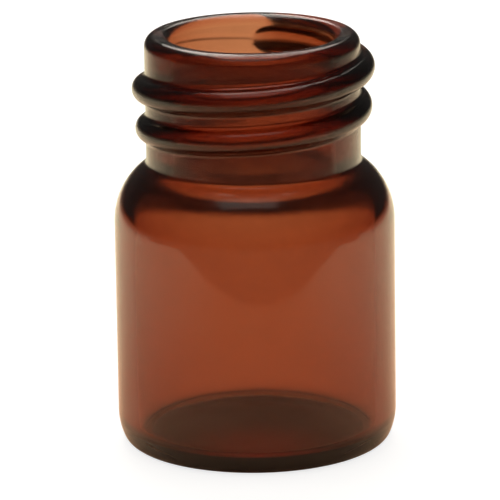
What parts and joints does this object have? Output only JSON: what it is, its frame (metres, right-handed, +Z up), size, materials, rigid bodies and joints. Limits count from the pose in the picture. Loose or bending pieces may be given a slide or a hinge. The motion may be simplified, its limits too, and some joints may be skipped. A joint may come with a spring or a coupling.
{
  "type": "glass sample vial",
  "caption": "Short amber glass sample vial with a tube body, rounded shoulder, screw-thread neck and open mouth, without its cap.",
  "frame": {"origin": "centre of the standing ring under the base, on the vial's axis", "axes": "+Z up along the vial's axis, out of the mouth; the thread's upper end lies at the back, towards +Y"},
  "size_m": [0.0148, 0.0148, 0.022],
  "materials": {
    "amber_glass": "clear amber, fire polished"
  },
  "bodies": {
    "root": {"vial": "amber_glass"}
  },
  "joints": []
}
